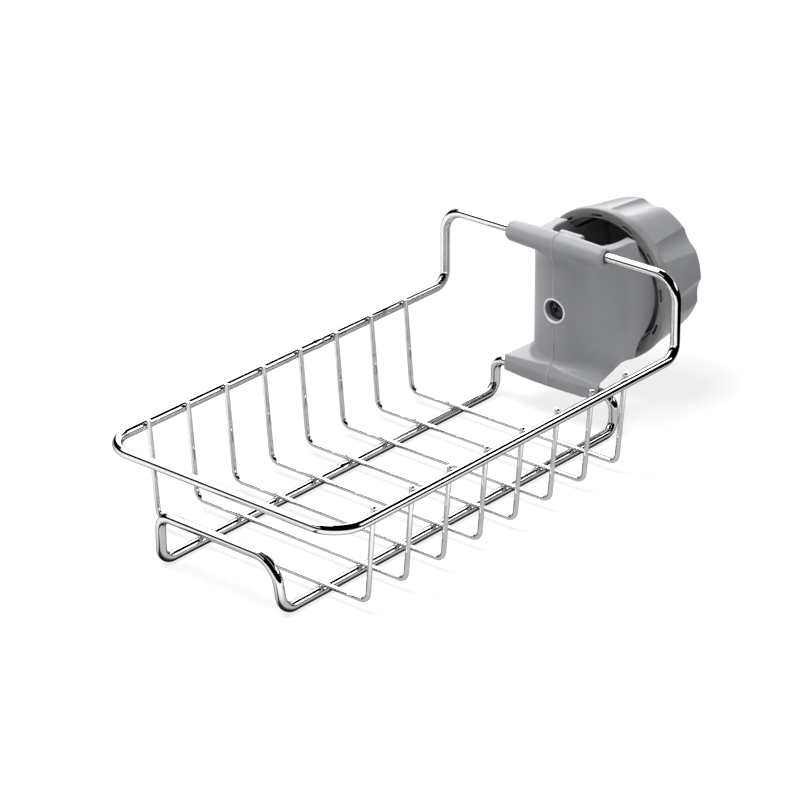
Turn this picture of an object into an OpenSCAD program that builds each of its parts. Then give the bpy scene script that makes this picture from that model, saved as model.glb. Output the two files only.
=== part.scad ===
/* [Wire] */
// Diameter of the heavy wire of the rim and the base
heavy_d = 3.2; // [2.8:0.1:3.4]
// Diameter of the thin cross wires
cross_d = 1.6; // [1.3:0.1:2]
// Depth that a weld sinks a cross wire into the heavy wire
weld_bite = 0.15; // [0.05:0.05:0.2]

/* [Rim] */
// Width between the centres of the two side rails
rim_w = 95; // [88:1:110]
// Length from the centre of the front rail to the centre of the risers
rim_l = 161.6; // [150:0.1:180]
// Height of the basket, from the floor to the top of the rim
basket_h = 35.6; // [32:0.1:40]
// Height of the top cross wire, from the floor to its top
top_h = 62.6; // [59:0.1:68]
// Bend radius of the two front corners
front_bend = 10.5; // [8:0.5:16]
// Bend radius where the rails turn up into the risers
riser_bend = 5; // [4:0.5:8]
// Bend radius where the risers turn into the top wire
top_bend = 8; // [5:0.5:11]

/* [Base] */
// Width between the centres of the two base rails
rail_w = 49.4; // [44:0.2:56]
// Distance of the front arch behind the front rail
front_arch_inset = 0.4; // [0:0.1:3]
// Height of the front arch, from the floor to its top
front_arch_h = 19; // [15:0.1:22]
// Distance of the back arch in front of the risers
back_arch_inset = 1.2; // [0.8:0.1:2.2]
// Height of the back arch, from the floor to its top
back_arch_h = 15.1; // [13.5:0.1:17]
// Bend radius of the base wire's tight corners
base_bend = 4.5; // [3.5:0.1:5]
// Bend radius of the softer corner of the front arch
soft_bend = 9; // [6:0.5:11]
// Lean of the leg below the softer corner, measured across the width
soft_lean = 2.8; // [0:0.5:6]

/* [Cross wires] */
// Distance of the first cross wire behind the front rail
cross_first = 17.7; // [15:0.1:20]
// Distance from one cross wire to the next
cross_pitch = 17.24; // [14:0.01:18]
// Width between the centres of a cross wire's legs at the bottom
cross_bottom_w = 85.4; // [80:0.1:88]
// Bend radius of a cross wire's two bottom corners
cross_bend = 3; // [2:0.5:5]
// Height that a cross wire's ends stand above the rim
cross_stand = 1.4; // [0.8:0.1:2]

/* [Clamp body] */
// Length of the sleeve along the top wire
sleeve_l = 40; // [36:0.5:44]
// Diameter of the sleeve at its middle
sleeve_mid_d = 7.8; // [7.2:0.1:9]
// Diameter of the sleeve at its ends
sleeve_end_d = 6.8; // [6.4:0.1:7.2]
// Distance of the sleeve's centre below the top wire's centre
sleeve_drop = 0.6; // [0:0.1:0.8]
// Length of the foot along the back arch
foot_l = 39.2; // [36:0.2:41]
// Diameter of the tube that holds the back arch under the column
foot_tube_d = 6.6; // [6:0.1:7]
// Length of that tube
foot_tube_l = 26; // [20:1:30]
// Clearance round a wire in its bore
bore_gap = 0.35; // [0.1:0.05:0.5]
// Distance of the column's front face before the top wire's centre
column_lead = 2.2; // [1.5:0.1:3]
// Outer radius of the column
column_r = 15.8; // [15.2:0.1:16.4]
// Thickness of the column's front wall at the middle
front_wall = 6.7; // [6:0.1:8]
// Half width of the pipe channel
channel_r = 12; // [11:0.1:12.5]
// Distance of the walls' tops below the top wire's centre
wall_drop = 1.5; // [1:0.1:2.5]
// Distance of the walls' lower ends above the back arch's centre
wall_rise = 4; // [3.5:0.1:5]
// Distance before the pressure ring where the walls' ends start to fall away
wall_short = 4.9; // [4.5:0.1:6]
// Distance before the pressure ring where the walls fit inside its hole
wall_ease = 2; // [2:0.1:2.5]
// Depth of the clamp's axis below the top wire's centre
clamp_drop = 22.8; // [22.4:0.1:23.2]
// Distance of the foot's front face before the back arch's centre
foot_lead = 4; // [3.8:0.1:4.4]
// Depth of the bow of the foot's front face
foot_bow = 1.6; // [1:0.1:1.7]
// Height of the foot's front face
foot_face_h = 3.8; // [3.4:0.1:4.4]
// Run of the foot's front slope, from its face back to the column
foot_slope = 3; // [2.4:0.1:3.6]
// Height of the foot's front slope
foot_rise = 5.6; // [5:0.1:6.2]
// Distance behind the foot's face where its tapered sides meet the walls
foot_reach = 19.3; // [17:0.1:20]
// Radius of the concave sweep between the column and the foot
foot_sweep = 3; // [2:0.2:4]
// Radius of the concave sweep between the column and the sleeve
sleeve_sweep = 6.4; // [4:0.2:7]

/* [Thread] */
// Outer diameter of the threaded wings
thread_d = 41.2; // [40:0.1:42]
// Radial clearance between the wings and the knob's bore
thread_gap = 0.1; // [0.05:0.01:0.1]
// Depth of the wings behind the front face of the pressure ring
wing_l = 19.2; // [17:0.1:19.5]
// Distance behind the ring's front face where the flare reaches full size
flare_end = 2.2; // [1.5:0.1:3]
// Radius of the concave flare from the walls to the wings
flare_r = 15; // [12:0.5:17]
// Angle of the crease between a wall and its flare
flare_crease = 8; // [4:1:12]
// Bevel at the wings' tips
wing_bevel = 1; // [0.5:0.1:1.5]

/* [Saddle and screw] */
// Diameter of the thinnest pipe, which the saddle's groove fits
pipe_d = 15.2; // [14:0.1:17]
// Thickness of the saddle behind the groove
saddle_t = 3.85; // [3.5:0.05:5]
// Distance of the saddle's top below the walls' tops
saddle_drop = 5; // [3:0.5:8]
// Clearance round the saddle in the channel
saddle_gap = 0.15; // [0.05:0.05:0.3]
// Depth of the groove in the saddle
groove_depth = 5; // [4:0.1:6]
// Clearance between the thinnest pipe and the pressure ring
pipe_gap = 0.1; // [0.05:0.05:0.5]
// Width of the saddle's top tab
tab_w = 8.8; // [6:0.2:12]
// Height of the tab above the walls
tab_h = 2.7; // [1:0.1:3]
// Thickness of the tab
tab_t = 2.6; // [2:0.1:3.5]
// Diameter of the screw's head
screw_head_d = 6.8; // [6:0.1:7.2]
// Height of the screw's head
screw_head_h = 2.4; // [2:0.1:2.6]
// Diameter of the screw's shank
screw_d = 3; // [2.5:0.1:4]
// Length of the screw's shank in the saddle
screw_grip = 3; // [2:0.1:3.3]
// Radial clearance round the shank and the head
screw_gap = 0.3; // [0.1:0.05:0.4]
// Depth of the head's face below the column's front
screw_sink = 1.4; // [1:0.1:2]
// Depth of the screw's axis below the clamp's axis
screw_drop = 0.7; // [0:0.1:1.5]
// Width of the bevel at the mouth of the screw hole
mouth_bevel = 0.6; // [0.3:0.1:1]

/* [Pressure ring] */
// Outer diameter of the pressure ring
ring_d = 53.3; // [52:0.1:55]
// Diameter of the hole in the pressure ring
ring_hole_d = 46.6; // [46:0.1:47.4]
// Thickness of the ring's flange
ring_t = 3; // [2.5:0.1:3.5]
// Wall thickness of the ring's hub
hub_t = 1; // [0.8:0.1:1.2]
// Length of the ring's hub inside the knob
hub_l = 2.5; // [2:0.1:3]
// Running clearance round the hub in the knob
hub_gap = 0.08; // [0.05:0.01:0.1]
// Number of snap slots in the ring
slot_count = 12; // [8:1:14]
// Angle that one snap slot spans
slot_angle = 10.5; // [6:0.5:16]
// Radial width of a snap slot
slot_w = 0.9; // [0.6:0.1:1.2]
// Distance of the slots outside the ring's hole
slot_inset = 0.6; // [0.4:0.1:0.8]
// Angle of the first slot above the horizontal
slot_start = 6; // [0:1:29]
// Bevel on the ring's outer front edge
ring_bevel = 0.7; // [0.3:0.1:1]

/* [Knob] */
// Length of the knob from its front edge to its back
knob_l = 20.7; // [20:0.1:24]
// Diameter of the knob at its front edge
knob_front_d = 52.6; // [51.5:0.1:54]
// Diameter of the knob at its back
knob_back_d = 47.4; // [46.6:0.1:50]
// Thickness of the knob's back wall
knob_floor = 2.6; // [2:0.1:3]
// Radius of the knob's rounded back edge
knob_edge = 1.2; // [0.8:0.1:1.8]
// Number of flutes round the knob
flute_count = 8; // [6:1:10]
// Depth of a flute at the knob's back
flute_back = 1.6; // [0.8:0.1:1.8]
// Depth of a flute at the knob's front edge
flute_front = 0.8; // [0.3:0.1:1]
// Radius of the flute's hollow
flute_r = 10; // [8:0.5:14]
// Angle of the first flute above the horizontal
flute_start = 37; // [0:0.5:45]
// Depth of the shallow dish in the knob's back
dish_depth = 0.6; // [0.3:0.1:1]
// Width of the border left round the dish
dish_border = 5; // [4:0.5:8]
// Gap between the ring's flange and the knob
knob_gap = 0.3; // [0.2:0.05:0.5]

/* [Hidden] */

chrome_colour = [0.78, 0.79, 0.8];
body_colour = [0.55, 0.56, 0.58];
saddle_colour = [0.68, 0.69, 0.71];
knob_colour = [0.57, 0.58, 0.6];
ring_colour = [0.36, 0.35, 0.35];
screw_colour = [0.3, 0.3, 0.31];

round_fn = 64;
eps = 0.01;
run_lap = 0.1;
run_ease = 0.01;
heavy_r = heavy_d / 2;
cross_r = cross_d / 2;
rim_z = basket_h - heavy_r;
top_z = top_h - heavy_r;
rail_z = heavy_r;
front_arch_z = front_arch_h - heavy_r;
back_arch_z = back_arch_h - heavy_r;
back_arch_y = rim_l - back_arch_inset;
foot_face_y = back_arch_y - foot_lead;
foot_low_z = back_arch_z - foot_face_h / 2;
foot_bow_r = (pow(foot_l / 2, 2) + foot_bow * foot_bow) / (2 * foot_bow);
cross_run_z = heavy_d + cross_r - weld_bite;

// Every place along the rack follows from the top wire, which carries the clamp
column_front_y = rim_l - column_lead;
column_y = column_front_y + column_r;
channel_front_y = column_front_y + front_wall;
groove_front_y = channel_front_y + saddle_gap + saddle_t;
pipe_y = groove_front_y + pipe_d / 2;
ring_y = groove_front_y + pipe_d + pipe_gap;
knob_front_y = ring_y + ring_t + knob_gap;
knob_back_y = knob_front_y + knob_l;
fall_y = ring_y - wall_short;
ease_y = ring_y - wall_ease;
flare_y = ring_y + flare_end;
wing_end_y = ring_y + wing_l;
saddle_end_y = groove_front_y + groove_depth;

wall_top_z = top_z - wall_drop;
wall_low_z = back_arch_z + wall_rise;
clamp_z = top_z - clamp_drop;
screw_z = clamp_z - screw_drop;
wall_h = wall_top_z - wall_low_z;
thread_r = thread_d / 2;
flare_x = column_r + flare_r * cos(flare_crease);
flare_end_x = thread_r + 0.3;
flare_mid_y = flare_y - sqrt(flare_r * flare_r - pow(flare_x - flare_end_x, 2));
flare_start_y = flare_mid_y + flare_r * sin(flare_crease);
knob_bore_r = thread_r + thread_gap;
hub_r = ring_hole_d / 2 + hub_t;
bore_r = heavy_r + bore_gap;

// The origin lies under the middle of the rack's length
middle_y = (knob_back_y - heavy_r) / 2;

function unit(v) = v / norm(v);
function turn_angle(a, b, c) = acos(unit(b - a) * unit(c - b));
function bend_cut(a, b, c, r) = r * tan(turn_angle(a, b, c) / 2);
function side_axis(w) = abs(w[2]) < 0.9 ? unit(cross([0, 0, 1], w)) : unit(cross([1, 0, 0], w));
function frame_matrix(x, y, z, o) = [
    [x[0], y[0], z[0], o[0]],
    [x[1], y[1], z[1], o[1]],
    [x[2], y[2], z[2], o[2]],
    [0, 0, 0, 1]
];

module in_place() {
    translate([0, -middle_y, 0])
        children();
}

// A straight run of wire, a hair thinner than the bends that it laps into at its ends
module straight_run(a, b, d) {
    w = unit(b - a);
    x = side_axis(w);
    multmatrix(frame_matrix(x, cross(w, x), w, a - w * run_lap))
        cylinder(h = norm(b - a) + 2 * run_lap, r = d / 2 - run_ease, $fn = round_fn / 2);
}

// The round bend at corner b of a wire that runs from a through b to c
module bend(a, b, c, r, d) {
    u = unit(b - a);
    v = unit(c - b);
    n = unit(v - (v * u) * u);
    start = b - u * bend_cut(a, b, c, r);
    multmatrix(frame_matrix(-n, u, cross(u, n), start + n * r))
        rotate_extrude(angle = turn_angle(a, b, c), $fn = round_fn)
            translate([r, 0])
                circle(d = d, $fn = round_fn / 2);
}

// A wire bent into a closed loop through corner points, one radius a corner
module closed_wire(points, radii, d) {
    count = len(points);
    for (i = [0 : count - 1]) {
        before = points[(i + count - 1) % count];
        here = points[i];
        next = points[(i + 1) % count];
        after = points[(i + 2) % count];
        along = unit(next - here);
        bend(before, here, next, radii[i], d);
        straight_run(here + along * bend_cut(before, here, next, radii[i]),
            next - along * bend_cut(here, next, after, radii[(i + 1) % count]), d);
    }
}

module rim_wire() {
    x = rim_w / 2;
    corners = [
        [-x, 0, rim_z], [x, 0, rim_z], [x, rim_l, rim_z],
        [x, rim_l, top_z], [-x, rim_l, top_z], [-x, rim_l, rim_z]
    ];
    radii = [front_bend, front_bend, riser_bend, top_bend, top_bend, riser_bend];
    color(chrome_colour)
        in_place()
            closed_wire(corners, radii, heavy_d);
}

module base_wire() {
    x = rail_w / 2;
    y = front_arch_inset;
    corners = [
        [-x, y, rail_z], [-x, y, front_arch_z], [x - soft_lean, y, front_arch_z], [x, y, rail_z],
        [x, back_arch_y, rail_z], [x, back_arch_y, back_arch_z],
        [-x, back_arch_y, back_arch_z], [-x, back_arch_y, rail_z]
    ];
    radii = [base_bend, base_bend, soft_bend, base_bend, base_bend, base_bend, base_bend, base_bend];
    color(chrome_colour)
        in_place()
            closed_wire(corners, radii, heavy_d);
}

// One U of thin wire, welded inside the rim and on top of the base rails
module cross_wire(index) {
    y = cross_first + index * cross_pitch;
    rim_x = rim_w / 2 - heavy_r - cross_r + weld_bite;
    low_x = cross_bottom_w / 2;
    top_end_z = basket_h + cross_stand - cross_r;
    lean = (rim_x - low_x) / (rim_z - cross_run_z);
    top_x = low_x + lean * (top_end_z - cross_run_z);
    left_top = [-top_x, y, top_end_z];
    left_low = [-low_x, y, cross_run_z];
    right_low = [low_x, y, cross_run_z];
    right_top = [top_x, y, top_end_z];
    cut = bend_cut(left_top, left_low, right_low, cross_bend);
    color(chrome_colour)
        in_place() {
            for (end = [left_top, right_top])
                translate(end)
                    sphere(r = cross_r, $fn = round_fn / 2);
            straight_run(left_top, left_low + unit(left_top - left_low) * cut, cross_d);
            bend(left_top, left_low, right_low, cross_bend, cross_d);
            straight_run(left_low + [cut, 0, 0], right_low - [cut, 0, 0], cross_d);
            bend(left_low, right_low, right_top, cross_bend, cross_d);
            straight_run(right_low + unit(right_top - right_low) * cut, right_top, cross_d);
        }
}

// A cylinder that lies along the width, centred on the middle plane
module across(y, z, r, length) {
    translate([-length / 2, y, z])
        rotate([0, 90, 0])
            cylinder(h = length, r = r, $fn = round_fn);
}

// A cylinder that points to the back, at the height of the clamp's axis unless told otherwise
module backward(y0, y1, r0, r1, z = clamp_z) {
    translate([0, y0, z])
        rotate([-90, 0, 0])
            cylinder(h = y1 - y0, r1 = r0, r2 = r1, $fn = round_fn);
}

// The barrel shaped sleeve on the top wire, fuller at its middle than at its ends
module sleeve() {
    half = sleeve_l / 2;
    fullness = (sleeve_mid_d - sleeve_end_d) / 2;
    bow_r = (half * half + fullness * fullness) / (2 * fullness);
    round_r = 1.4;
    translate([0, rim_l, top_z - sleeve_drop])
        rotate([0, 90, 0])
            rotate_extrude($fn = round_fn)
                intersection() {
                    translate([sleeve_mid_d / 2 - bow_r, 0])
                        circle(r = bow_r, $fn = 4 * round_fn);
                    union() {
                        translate([0, -half + round_r])
                            square([sleeve_mid_d, 2 * (half - round_r)]);
                        translate([0, -half])
                            square([sleeve_end_d / 2 - round_r, sleeve_l]);
                        for (end = [-1, 1])
                            translate([sleeve_end_d / 2 - round_r, end * (half - round_r)])
                                circle(r = round_r, $fn = round_fn / 2);
                    }
                }
}

// Plan of the pipe channel, round at the front and cut square at the back
module channel_plan(r, front_y, back_y) {
    intersection() {
        union() {
            translate([0, front_y + r])
                circle(r = r, $fn = round_fn);
            translate([-r, front_y + r])
                square([2 * r, back_y - front_y]);
        }
        translate([-r, front_y])
            square([2 * r, back_y - front_y]);
    }
}

// Plan of the column and the two walls behind it, which flare out at the back
module column_plan() {
    channel_plan(column_r, column_front_y, flare_start_y + 1);
    difference() {
        translate([-flare_end_x - 1, flare_start_y])
            square([2 * flare_end_x + 2, flare_y - flare_start_y]);
        for (side = [-1, 1])
            translate([side * flare_x, flare_mid_y])
                circle(r = flare_r, $fn = 2 * round_fn);
    }
}

// The column and its walls, whose ends fall away so that they pass inside the pressure ring
module column() {
    reach = norm([thread_r, wall_h / 2 + 1]);
    ring_ease = 0.4;
    intersection() {
        translate([0, 0, wall_low_z])
            linear_extrude(wall_h)
                column_plan();
        translate([0, 0, clamp_z])
            rotate([-90, 0, 0])
                rotate_extrude($fn = 2 * round_fn)
                    polygon([
                        [0, column_front_y - 1], [reach, column_front_y - 1], [reach, fall_y],
                        [ring_hole_d / 2 - ring_ease, ease_y], [thread_r, flare_y], [0, flare_y]
                    ]);
    }
}

// The concave sweep from the column out to the underside of the sleeve
module sleeve_blend() {
    half_depth = sleeve_end_d / 2;
    sweep_z = wall_top_z - sleeve_sweep;
    intersection() {
        translate([0, column_y, sweep_z])
            rotate_extrude($fn = round_fn)
                difference() {
                    square([column_r + sleeve_sweep, sleeve_sweep + wall_drop]);
                    translate([column_r + sleeve_sweep, 0])
                        circle(r = sleeve_sweep, $fn = round_fn);
                }
        translate([-sleeve_l / 2, rim_l - half_depth, sweep_z])
            cube([sleeve_l, 2 * half_depth, sleeve_sweep + wall_drop]);
    }
}

// Plan of the foot, with a bowed front, rounded corners and sides that draw in to the walls
module foot_plan() {
    half = foot_l / 2;
    round_r = 1.5;
    round_lead = 0.15;
    bow_y = foot_face_y + foot_bow_r;
    corner_x = half - round_r;
    corner_y = bow_y - sqrt(pow(foot_bow_r - round_r, 2) - corner_x * corner_x) - round_lead;
    side_x = half - 0.3;
    side_y = foot_face_y + foot_reach;
    intersection() {
        translate([0, bow_y])
            circle(r = foot_bow_r, $fn = 4 * round_fn);
        union() {
            polygon([
                [-corner_x, foot_face_y - 1], [corner_x, foot_face_y - 1], [corner_x, corner_y],
                [side_x, corner_y], [column_r, side_y], [-column_r, side_y], [-side_x, corner_y],
                [-corner_x, corner_y]
            ]);
            for (side = [-1, 1])
                translate([side * corner_x, corner_y])
                    circle(r = round_r, $fn = round_fn);
        }
    }
}

// The foot's front face and the slope above it, both bowed
module foot_front() {
    translate([0, foot_face_y + foot_bow_r, foot_low_z - 1]) {
        cylinder(h = foot_face_h + 1, r = foot_bow_r, $fn = 4 * round_fn);
        translate([0, 0, foot_face_h + 1])
            cylinder(h = foot_rise, r1 = foot_bow_r, r2 = foot_bow_r - foot_slope, $fn = 4 * round_fn);
    }
}

// The skirt that sweeps out from the column and then falls slowly to the foot's edge
module foot_skirt() {
    fall = 10;
    top_h = foot_face_h + foot_rise;
    foot_x = column_r + foot_sweep * (1 - sin(fall));
    foot_h = top_h - foot_sweep * cos(fall);
    translate([0, column_y, foot_low_z])
        rotate_extrude($fn = round_fn)
            difference() {
                union() {
                    square([foot_x, top_h]);
                    polygon([
                        [0, 0], [foot_l, 0], [foot_l, foot_h - (foot_l - foot_x) * tan(fall)],
                        [foot_x, foot_h], [0, foot_h]
                    ]);
                }
                translate([column_r + foot_sweep, top_h])
                    circle(r = foot_sweep, $fn = round_fn);
            }
}

// The foot: a lip before the back arch, a thin skirt above it and a tube that holds the wire
module foot() {
    top_z = foot_low_z + foot_face_h + foot_rise;
    lip_behind_bore = 0.35;
    hook_lead = 0.8;
    hook_rise = 0.5;
    skirt_rise = 1.1;
    lip_y = back_arch_y - bore_r + lip_behind_bore;
    hook_y = back_arch_y - hook_lead;
    hook_z = back_arch_z + hook_rise;
    skirt_z = back_arch_z + bore_r + skirt_rise;
    back_y = foot_face_y + foot_reach;
    across(back_arch_y, back_arch_z, foot_tube_d / 2, foot_tube_l);
    intersection() {
        translate([0, 0, foot_low_z])
            linear_extrude(top_z - foot_low_z)
                foot_plan();
        rotate([90, 0, 90])
            translate([0, 0, -foot_l / 2 - 1])
                linear_extrude(foot_l + 2)
                    polygon([
                        [foot_face_y - 1, foot_low_z], [lip_y, foot_low_z], [lip_y, hook_z],
                        [hook_y, hook_z], [hook_y, skirt_z], [back_y, wall_low_z - 0.1],
                        [back_y, top_z], [foot_face_y - 1, top_z]
                    ]);
        foot_front();
        foot_skirt();
    }
}

// The threaded wings behind the flare
module wing_drum() {
    backward(flare_y - eps, wing_end_y - wing_bevel, thread_r, thread_r);
    backward(wing_end_y - wing_bevel, wing_end_y, thread_r, thread_r - wing_bevel);
}

// The stepped hole for the screw, with a bevelled mouth
module screw_hole() {
    head_r = screw_head_d / 2 + screw_gap;
    seat_y = column_front_y + screw_sink + screw_head_h;
    shank_r = screw_d / 2 + screw_gap;
    backward(column_front_y - 1, seat_y, head_r, head_r, screw_z);
    backward(column_front_y - 1, column_front_y + mouth_bevel, head_r + 1 + mouth_bevel, head_r, screw_z);
    backward(seat_y - eps, channel_front_y + 1, shank_r, shank_r, screw_z);
}

module clamp_body() {
    color(body_colour)
        in_place()
            difference() {
                union() {
                    column();
                    sleeve();
                    sleeve_blend();
                    foot();
                    wing_drum();
                }
                translate([0, 0, -1])
                    linear_extrude(top_h + ring_d)
                        channel_plan(channel_r, channel_front_y, wing_end_y + 1);
                across(rim_l, top_z, bore_r, sleeve_l + 2);
                across(back_arch_y, back_arch_z, bore_r, sleeve_l + 2);
                screw_hole();
            }
}

// The saddle fills the front of the channel and carries the pipe in its groove
module pipe_saddle() {
    seat_r = channel_r - saddle_gap;
    saddle_h = wall_h - saddle_drop;
    tab_lap = 2;
    color(saddle_colour)
        in_place()
            difference() {
                union() {
                    intersection() {
                        translate([0, 0, wall_low_z])
                            linear_extrude(saddle_h)
                                channel_plan(seat_r, channel_front_y + saddle_gap, fall_y);
                        translate([-seat_r, channel_front_y, wall_low_z])
                            cube([2 * seat_r, saddle_end_y - channel_front_y, saddle_h]);
                    }
                    translate([-tab_w / 2, groove_front_y - tab_t, wall_low_z + saddle_h - tab_lap])
                        cube([tab_w, tab_t, tab_lap + saddle_drop + tab_h - tab_t / 4]);
                    translate([0, groove_front_y - tab_t / 2, wall_top_z + tab_h - tab_t / 2])
                        rotate([0, 90, 0])
                            cylinder(h = tab_w, d = tab_t, center = true, $fn = round_fn / 2);
                }
                translate([0, pipe_y, wall_low_z - 1])
                    cylinder(h = wall_h + tab_h + 2, d = pipe_d, $fn = round_fn);
                backward(channel_front_y, channel_front_y + saddle_gap + screw_grip + 0.3,
                    screw_d / 2 + 0.05, screw_d / 2 + 0.05, screw_z);
            }
}

// A screw with a raised head and a cross recess, in from the column's front
module saddle_screw() {
    head_y = column_front_y + screw_sink;
    seat_y = head_y + screw_head_h;
    end_y = channel_front_y + saddle_gap + screw_grip;
    head_r = screw_head_d / 2;
    recess_w = screw_head_d / 8;
    dome = 1.2;
    dome_r = (head_r * head_r + dome * dome) / (2 * dome);
    color(screw_colour)
        in_place()
            difference() {
                union() {
                    intersection() {
                        backward(head_y, seat_y, head_r, head_r, screw_z);
                        translate([0, head_y + dome_r, screw_z])
                            sphere(r = dome_r, $fn = 2 * round_fn);
                    }
                    backward(seat_y, end_y, screw_d / 2, screw_d / 2, screw_z);
                }
                for (turn = [0, 90])
                    translate([0, head_y, screw_z])
                        rotate([0, turn + 20, 0])
                            cube([screw_head_d / 2, screw_head_h, recess_w], center = true);
            }
}

// A wedge of the given angle that covers the ring's radius
module wedge(angle, reach) {
    polygon([
        [0, 0], [reach, -reach * tan(angle / 2)], [reach, reach * tan(angle / 2)]
    ]);
}

// The flat ring that presses on the pipe, with snap slots and a hub that runs in the knob
module pressure_ring() {
    hole_r = ring_hole_d / 2;
    outer_r = ring_d / 2;
    slot_r = hole_r + slot_inset;
    color(ring_colour)
        in_place()
            translate([0, ring_y, clamp_z])
                rotate([-90, 0, 0])
                    difference() {
                        union() {
                            cylinder(h = ring_bevel, r1 = outer_r - ring_bevel, r2 = outer_r,
                                $fn = 2 * round_fn);
                            translate([0, 0, ring_bevel])
                                cylinder(h = ring_t - ring_bevel, r = outer_r, $fn = 2 * round_fn);
                            cylinder(h = ring_t + hub_l, r = hub_r, $fn = 2 * round_fn);
                        }
                        translate([0, 0, -1])
                            cylinder(h = ring_t + hub_l + 2, r = hole_r, $fn = 2 * round_fn);
                        for (i = [0 : slot_count - 1])
                            rotate([0, 0, -slot_start - i * 360 / slot_count])
                                translate([0, 0, -1])
                                    linear_extrude(ring_t + 1)
                                        intersection() {
                                            difference() {
                                                circle(r = slot_r + slot_w, $fn = 2 * round_fn);
                                                circle(r = slot_r, $fn = 2 * round_fn);
                                            }
                                            wedge(slot_angle, ring_d);
                                        }
                    }
}

// Half section of the knob, with the radius across and the depth upwards
module knob_section() {
    front_r = knob_front_d / 2;
    back_r = knob_back_d / 2;
    hub_depth = hub_l - knob_gap + 0.3;
    dish_r = back_r - dish_border;
    difference() {
        union() {
            polygon([
                [0, 0], [front_r, 0], [back_r, knob_l - knob_edge],
                [back_r - knob_edge, knob_l - knob_edge], [back_r - knob_edge, knob_l], [0, knob_l]
            ]);
            translate([back_r - knob_edge, knob_l - knob_edge])
                circle(r = knob_edge, $fn = round_fn);
        }
        translate([0, -1])
            square([knob_bore_r, knob_l - knob_floor + 1]);
        translate([0, -1])
            square([hub_r + hub_gap, hub_depth + 1]);
        translate([0, knob_l - dish_depth])
            square([dish_r, dish_depth + 1]);
    }
}

// The fluted knob, a cup that screws onto the wings
module knob() {
    front_r = knob_front_d / 2 - flute_front + flute_r;
    back_r = knob_back_d / 2 - flute_back + flute_r;
    lean = atan((front_r - back_r) / knob_l);
    color(knob_colour)
        in_place()
            translate([0, knob_front_y, clamp_z])
                rotate([-90, 0, 0])
                    difference() {
                        rotate_extrude($fn = 2 * round_fn)
                            knob_section();
                        for (i = [0 : flute_count - 1])
                            rotate([0, 0, -flute_start - i * 360 / flute_count])
                                translate([front_r, 0, 0])
                                    rotate([0, -lean, 0])
                                        translate([0, 0, -5])
                                            cylinder(h = knob_l + 10, r = flute_r, $fn = round_fn);
                    }
}

rim_wire();
base_wire();
cross_wire(0);  // cross_wire_1
cross_wire(1);  // cross_wire_2
cross_wire(2);  // cross_wire_3
cross_wire(3);  // cross_wire_4
cross_wire(4);  // cross_wire_5
cross_wire(5);  // cross_wire_6
cross_wire(6);  // cross_wire_7
cross_wire(7);  // cross_wire_8
clamp_body();
pipe_saddle();
saddle_screw();
pressure_ring();
knob();
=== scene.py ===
import math

import bmesh
import bpy
from mathutils import Matrix, Vector


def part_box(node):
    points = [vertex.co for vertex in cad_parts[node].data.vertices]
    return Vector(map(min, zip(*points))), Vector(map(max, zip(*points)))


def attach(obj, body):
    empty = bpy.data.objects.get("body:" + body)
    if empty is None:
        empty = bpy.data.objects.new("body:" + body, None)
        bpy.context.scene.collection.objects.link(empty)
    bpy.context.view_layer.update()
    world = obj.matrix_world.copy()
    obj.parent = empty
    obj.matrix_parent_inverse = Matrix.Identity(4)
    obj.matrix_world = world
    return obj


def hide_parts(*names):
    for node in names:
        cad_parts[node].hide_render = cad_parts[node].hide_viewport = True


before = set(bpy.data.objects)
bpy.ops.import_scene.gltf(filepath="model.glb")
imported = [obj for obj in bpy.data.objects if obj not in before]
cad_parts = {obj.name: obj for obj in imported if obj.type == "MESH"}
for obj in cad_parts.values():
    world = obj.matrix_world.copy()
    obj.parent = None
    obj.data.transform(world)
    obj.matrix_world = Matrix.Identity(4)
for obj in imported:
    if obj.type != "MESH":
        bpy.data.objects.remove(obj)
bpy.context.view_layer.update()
scene = bpy.context.scene
mm = 0.001

# the clamp's ring and knob, and the axis that they share
ringLow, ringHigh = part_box("pressure_ring")
knobLow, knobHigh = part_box("knob")
clampAxis = Vector((0, 0, (ringLow.z + ringHigh.z) / 2))


# camera, read from the photograph's own perspective
cameraSettings = {
    "azimuth": math.radians(40.696),
    "elevation": math.radians(25.044),
    "roll": math.radians(-0.442),
    "aim": Vector((-0.016189, -0.002525, 0.0216)),
    "distance": 1.066291,
    "nearest": 0.01,
    "lens": 150.43,
    "sensor": 36,
}


def placeCamera(s):
    turn = (
        Matrix.Rotation(s["azimuth"], 3, "Z")
        @ Matrix.Rotation(math.pi / 2 - s["elevation"], 3, "X")
        @ Matrix.Rotation(s["roll"], 3, "Z")
    )
    data = bpy.data.cameras.new("camera")
    data.lens = s["lens"]
    data.sensor_width = s["sensor"]
    data.clip_start = s["nearest"]
    camera = bpy.data.objects.new("camera", data)
    camera.matrix_world = Matrix.Translation(s["aim"] + turn.col[2] * s["distance"]) @ turn.to_4x4()
    scene.collection.objects.link(camera)
    scene.camera = camera


placeCamera(cameraSettings)
print("camera placed")


# small helpers for node trees
def newMaterial(name):
    material = bpy.data.materials.new(name)
    material.use_nodes = True
    tree = material.node_tree
    return material, tree, tree.nodes["Principled BSDF"]


def addNode(tree, kind, **values):
    node = tree.nodes.new(kind)
    for key, value in values.items():
        setattr(node, key, value)
    return node


def feed(tree, socket, value):
    # a socket takes another node's output or a constant
    if isinstance(value, bpy.types.NodeSocket):
        tree.links.new(value, socket)
    else:
        socket.default_value = value


def feedAll(tree, node, values):
    for name, value in values.items():
        feed(tree, node.inputs[name], value)


def objectPoint(tree):
    return addNode(tree, "ShaderNodeTexCoord").outputs["Object"]


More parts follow.
